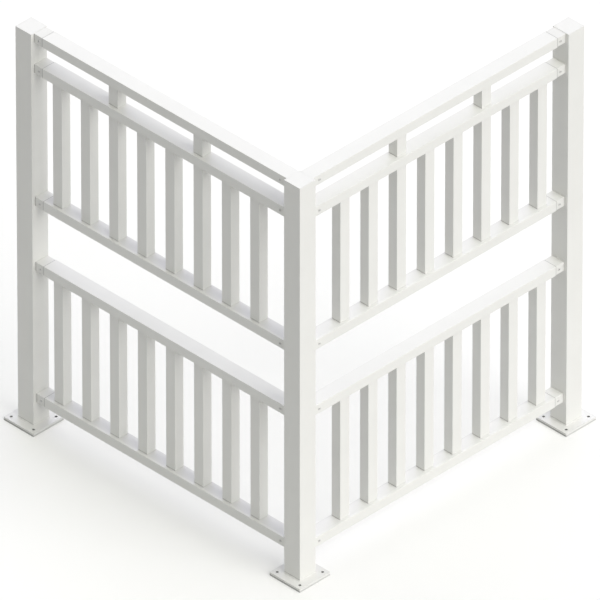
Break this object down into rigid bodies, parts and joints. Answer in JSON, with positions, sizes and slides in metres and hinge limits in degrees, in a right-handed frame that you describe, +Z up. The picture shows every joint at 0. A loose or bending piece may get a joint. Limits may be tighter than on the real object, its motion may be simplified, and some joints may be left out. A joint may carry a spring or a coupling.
{
  "type": "railing",
  "caption": "Corner railing with square posts on drilled base plates, box rails and stacked rows of balusters, its bays set at a right angle.",
  "frame": {"origin": "middle of the corner post's foot, at ground level", "axes": "+Z up; +X along the right bay and +Y along the left bay, away from the corner post"},
  "size_m": [0.963, 0.963, 1.1],
  "materials": {
    "coat": "satin powder coat",
    "fasteners": "satin coated screw heads"
  },
  "bodies": {
    "root": {"corner_post": "coat", "right_end_post": "coat", "left_end_post": "coat", "corner_base_plate": "coat", "right_base_plate": "coat", "left_base_plate": "coat", "corner_post_cap": "coat", "right_post_cap": "coat", "left_post_cap": "coat", "right_top_rail": "coat", "right_second_rail": "coat", "right_third_rail": "coat", "right_fourth_rail": "coat", "right_bottom_rail": "coat", "left_top_rail": "coat", "left_second_rail": "coat", "left_third_rail": "coat", "left_fourth_rail": "coat", "left_bottom_rail": "coat", "right_top_connector": "coat", "right_second_connector": "coat", "right_third_connector": "coat", "right_fourth_connector": "coat", "right_bottom_connector": "coat", "left_top_connector": "coat", "left_second_connector": "coat", "left_third_connector": "coat", "left_fourth_connector": "coat", "left_bottom_connector": "coat", "right_corner_spigots": "coat", "left_corner_spigots": "coat", "right_upper_balusters": "coat", "right_lower_balusters": "coat", "left_upper_balusters": "coat", "left_lower_balusters": "coat", "right_spacers": "coat", "left_spacers": "coat"}
  },
  "joints": []
}
